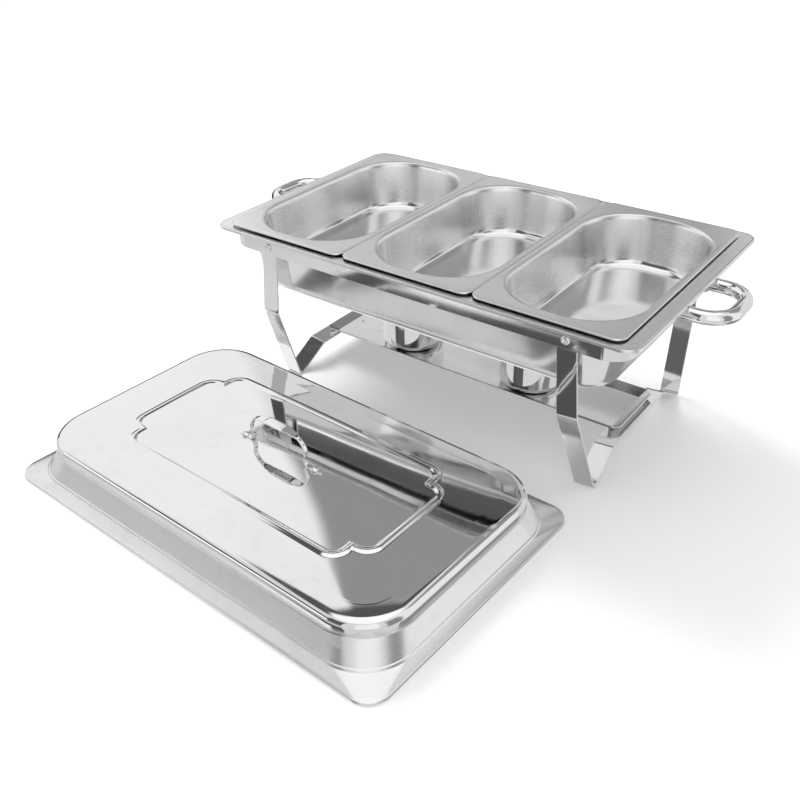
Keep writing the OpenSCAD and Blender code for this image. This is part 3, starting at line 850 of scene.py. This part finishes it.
@dataclass
class Stand:
    """The folding stand: strip ring, tube end handles, pivots and two bent leg frames; the collars keep
    their CAD shape.
    """

    pivot_x: float = 200.0
    splay: float = 5.1
    ring_height: float = 21.0
    strip_t: float = 2.0
    ring_radius: float = 30.0
    leg_half: float = 12.0
    leg_gap: float = 0.3
    leg_end: float = 11.3
    straight: float = 90.0
    foot_half: float = 119.3
    foot_flat: float = 4.0
    crossbar_half: float = 71.0
    crossbar_z: float = 29.6
    pivot_drop: float = 0.7
    tube_radius: float = 8.0
    handle_half: float = 40.0
    handle_bend: float = 30.0

    def pivot_z(self) -> float:
        """Return the height of the pivots in millimetres."""
        return top("top_ring") - self.ring_height / 2 - self.pivot_drop

    def build(self) -> None:
        """Make the ring, the end handles, the leg frames and the pivots."""
        self.build_ring()
        for side, sign in (("left", -1), ("right", 1)):
            self.build_handle(side, sign)
            self.build_legs(side, sign)
        self.build_pivots()

    def build_ring(self) -> None:
        """Make the ring: one rounded strip section carried around a rounded rectangle."""
        cx, cy = middle("top_ring")
        z = top("top_ring")
        x, y = half_size("top_ring", 0), half_size("top_ring", 1)
        t, r = self.strip_t, self.ring_radius
        low = z - self.ring_height
        round_over = 0.4
        keys = np.array([[x, y, r, low, round_over], [x, y, r, z, round_over],
                         [x - t, y - t, r - t, z, round_over], [x - t, y - t, r - t, low, round_over]])
        rows = softened(keys, 3, closed=True)[::-1]
        surface = Surface("ring_strip")
        surface.add(Outline(16, 30, 20).grid(rows) + np.array([cx, cy, 0.0]), 0.3, closed=True)
        weighted(surface.build(Finish.STRIP, "stand", "satin_steel", ("top_ring",)))

    def build_handle(self, side: str, sign: int) -> None:
        """Make one end handle: a tube along two stubs, two quarter bends and a bar.

        Args:
            side: which end it is on.
            sign: -1 on the left and 1 on the right.
        """
        node = f"handle_{side}"
        cx, cy = middle("top_ring")
        low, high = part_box(node)
        reach = (high[0] - low[0]) / MM - self.tube_radius
        r, h = self.handle_bend, self.handle_half
        turn = np.linspace(0, math.pi / 2, 16)
        stub = np.stack([np.linspace(0, reach - r, 6)[:-1], np.full(5, -h)], -1)
        arc = np.stack([reach - r + r * np.sin(turn), -h + r - r * np.cos(turn)], -1)
        half = np.concatenate([stub, arc])
        flat = np.concatenate([half, half[::-1] * [1, -1]])
        x = (flat[:, 0] + half_size("top_ring", 0)) * sign + cx
        z = np.full(len(flat), (low[2] + high[2]) / 2 / MM)
        surface = Surface(f"{side}_end_handle")
        surface.add(tube(np.stack([x, flat[:, 1] + cy, z], -1), self.tube_radius))
        surface.build(Finish.MIRROR, "stand", "mirror_steel", (node,))

    def build_legs(self, side: str, sign: int) -> None:
        """Make one leg frame: a strip bent down, in to the foot, up to the crossbar and back.

        Above the pivot the strip's ends are round: half width is the root of the end's radius
        squared less the height squared.

        Args:
            side: which end it is on.
            sign: -1 on the left and 1 on the right.
        """
        cx, cy = middle("top_ring")
        z0 = self.pivot_z()
        y = half_size("top_ring", 1) - self.strip_t - self.leg_gap - self.strip_t / 2
        lean = math.radians(self.splay)
        foot_z = 1.0 - (z0 - self.leg_half * math.sin(lean)) / math.cos(lean)
        bar_z = -1.0 - (z0 - self.crossbar_z) / math.cos(lean)
        tip = self.leg_end - 0.1
        half = np.array([[y, tip], [y, -self.straight], [self.foot_half, foot_z],
                         [self.foot_half - self.foot_flat, foot_z], [self.crossbar_half, bar_z]])
        path = rounded_path(np.concatenate([half, half[::-1] * [-1, 1]]), 2.6, 8)
        first, last = path[0], path[-1]
        share = np.linspace(0, 1, 12)[1:-1, None]
        down = first * (1 - share) + np.array([first[0], 0.0]) * share
        up = np.array([last[0], 0.0]) * (1 - share) + last * share
        path = np.concatenate([path[:1], down, path[1:-1], up, path[-1:]])
        past = np.clip(path[:, 1], 0, None)
        cap = np.sqrt(np.clip(self.leg_end ** 2 - past ** 2, 3.0, None))
        width = np.where(past > 0, cap, self.leg_half)
        spin = Matrix.Rotation(-sign * lean, 4, "Y")
        place = Matrix.Translation((cx + sign * self.pivot_x, cy, z0)) @ spin
        surface = Surface(f"{side}_leg_strip")
        surface.add(turned(strip(path, width, self.strip_t, 0.45), place), 0.1)
        weighted(surface.build(Finish.STRIP, f"{side}_legs", "mirror_steel", (f"leg_frame_{side}",)))

    def build_pivots(self) -> None:
        """Make the four pivot rivets: a dished head outside, a shank and a low head inside."""
        cx, cy = middle("top_ring")
        z0 = self.pivot_z()
        y = half_size("top_ring", 1)
        profile = np.array([[0.3, 1.0], [1.6, 1.05], [2.0, 1.6], [3.0, 1.95], [4.2, 1.7], [4.9, 0.9],
                            [5.0, 0.1], [3.0, 0.0], [3.0, -4.4], [4.4, -4.4], [3.6, -5.2], [0.3, -5.5]])
        surface = Surface("pivot_rivet_heads")
        for sx in (-1, 1):
            for sy in (-1, 1):
                spin = Matrix.Rotation(-sy * math.pi / 2, 4, "X")
                place = Matrix.Translation((cx + sx * self.pivot_x, cy + sy * y, z0)) @ spin
                surface.add(turned(lathe(profile, 28), place))
        surface.build(Finish.RIVET, "stand", "rivet_steel", ("pivot_rivets",))


@dataclass
class Burner:
    """One fuel burner: a polished cup with a round foot under its cover and damper."""

    side: str
    radius: float = 41.0
    height: float = 47.0
    foot: float = 10.0
    sheet: float = 1.0
    floor_radius: float = 14.0

    def build(self) -> None:
        """Make the cup: out along the floor, up the wall, over the edge and back inside.

        A corner of the foot is a quarter circle: (centre + f sin, f - f cos).
        """
        node = f"burner_cup_{self.side}"
        cx, cy = middle(node)
        z = top(node) - self.height
        r, h, f, t = self.radius, self.height, self.foot, self.sheet
        turn = np.linspace(0, math.pi / 2, 12)
        out = np.stack([r - f + f * np.sin(turn), f - f * np.cos(turn)], -1)
        wall = np.array([[r, h * 0.5], [r, h - 3.0], [r, h - 0.3], [r - t / 2, h], [r - t, h - 0.3],
                         [r - t, h * 0.5]])
        back = np.stack([r - f + (f - t) * np.sin(turn), f - (f - t) * np.cos(turn)], -1)[::-1]
        start = [[0.5, 0.0], [self.floor_radius, 0.0]]
        end = [[self.floor_radius, t], [0.5, t]]
        profile = np.concatenate([start, out, wall, back, end])
        surface = Surface(f"{self.side}_cup")
        surface.add(lathe(profile[::-1], 96) + np.array([cx, cy, z]))
        surface.build(Finish.MIRROR, f"burner_{self.side}", "mirror_steel", (node,))


@dataclass
class CarriedOver:
    """The small CAD pieces that keep their own shape and get a finish."""

    finishes: dict[str, Finish] = field(default_factory=lambda: {
        "handle_collars": Finish.COLLAR, "fuel_tray": Finish.PLAIN, "tray_rivets": Finish.RIVET,
        "burner_cover_left": Finish.PLAIN, "burner_cover_right": Finish.PLAIN,
        "damper_left": Finish.PLAIN, "damper_right": Finish.PLAIN,
        "damper_rivet_left": Finish.RIVET, "damper_rivet_right": Finish.RIVET,
        "lid_washers": Finish.RIVET})

    def build(self) -> None:
        """Give each node its material."""
        for node, finish in self.finishes.items():
            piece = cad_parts[node]
            if not piece.material_slots:
                piece.data.materials.append(finish.material())
            for place in piece.material_slots:
                place.material = finish.material()
            LOG.info("%s: %s", node, finish.value.name)


@dataclass
class Studio:
    """Floor, tent, lights and camera.

    The floor, the tent and the lamp are in metres about the origin; the camera's eye is in
    millimetres from the middle of the stand.
    """

    floor_size: float = 12.0
    tent_radius: float = 7.0
    eye: tuple[float, float, float] = (551.4, -901.2, 653.3)
    forward: tuple[float, float, float] = (-0.50630, 0.67021, -0.54266)
    right: tuple[float, float, float] = (0.80393, 0.59451, -0.01581)
    lens: float = 41.89
    sensor: float = 36.0
    glow: float = 1.02
    key_power: float = 48.0
    key_at: tuple[float, float, float] = (-1.7, 1.0, 1.9)
    key_size: float = 1.1

    def build(self) -> None:
        """Make the stage."""
        self.build_floor()
        self.build_tent()
        self.build_lights()
        self.build_camera()

    def build_floor(self) -> None:
        """Make a wide pale floor, which the steel doesn't mirror."""
        s = self.floor_size
        mesh = bpy.data.meshes.new("floor")
        mesh.from_pydata([(-s, -s, 0), (s, -s, 0), (s, s, 0), (-s, s, 0)], [], [(0, 1, 2, 3)])
        mesh.materials.append(Tabletop().build())
        floor = bpy.data.objects.new("floor", mesh)
        floor.visible_glossy = False
        bpy.context.scene.collection.objects.link(floor)

    def build_tent(self) -> None:
        """Make a sphere around the scene that only reflections see."""
        pole = 0.02
        fall = np.linspace(pole, math.pi - pole, 60)
        points = lathe(np.stack([np.sin(fall), np.cos(fall)], -1) * self.tent_radius, 96)
        rows, ring, _ = points.shape
        row, col = np.arange(rows - 1)[:, None] * ring, np.arange(ring)[None]
        right = (col + 1) % ring
        quads = np.stack([row + col, row + right, row + ring + right, row + ring + col], -1)
        mesh = bpy.data.meshes.new("tent")
        mesh.from_pydata(points.reshape(-1, 3).tolist(), [], quads.reshape(-1, 4).tolist())
        mesh.materials.append(Tent().build())
        tent = bpy.data.objects.new("tent", mesh)
        for ray in ("camera", "diffuse", "shadow", "transmission", "volume_scatter"):
            setattr(tent, f"visible_{ray}", False)
        bpy.context.scene.collection.objects.link(tent)

    def build_lights(self) -> None:
        """Set a soft even sky and one large soft light from behind on the left."""
        world = bpy.data.worlds.new("studio")
        world.use_nodes = True
        back = world.node_tree.nodes["Background"]
        back.inputs["Color"].default_value = (1.0, 1.0, 1.0, 1.0)
        back.inputs["Strength"].default_value = self.glow
        bpy.context.scene.world = world
        light = bpy.data.lights.new("key", "AREA")
        light.energy = self.key_power
        light.size = self.key_size
        lamp = bpy.data.objects.new("key", light)
        lamp.location = self.key_at
        lamp.rotation_euler = (-Vector(self.key_at)).to_track_quat("-Z", "Y").to_euler()
        lamp.visible_glossy = False
        bpy.context.scene.collection.objects.link(lamp)

    def build_camera(self) -> None:
        """Set the camera from its place over the stand and its two directions."""
        cx, cy = middle("top_ring")
        data = bpy.data.cameras.new("camera")
        data.lens = self.lens
        data.sensor_width = self.sensor
        data.clip_end = 50.0
        camera = bpy.data.objects.new("camera", data)
        forward = Vector(self.forward).normalized()
        right = Vector(self.right).normalized()
        up = right.cross(forward)
        turn = Matrix((right, up, -forward)).transposed().to_4x4()
        eye = Vector(((self.eye[0] + cx) * MM, (self.eye[1] + cy) * MM, self.eye[2] * MM))
        camera.matrix_world = Matrix.Translation(eye) @ turn
        bpy.context.scene.collection.objects.link(camera)
        bpy.context.scene.camera = camera


def main() -> None:
    """Build every piece in order, then the studio."""
    logging.basicConfig(level=logging.INFO, format="%(message)s")
    bpy.context.scene.view_settings.view_transform = "Standard"
    for side in ("left", "middle", "right"):
        FoodPan(side).build()
    WaterPan().build()
    Lid().build()
    Stand().build()
    for side in ("left", "right"):
        Burner(side).build()
    CarriedOver().build()
    Studio().build()
    bpy.context.view_layer.update()


if __name__ == "__main__":
    main()
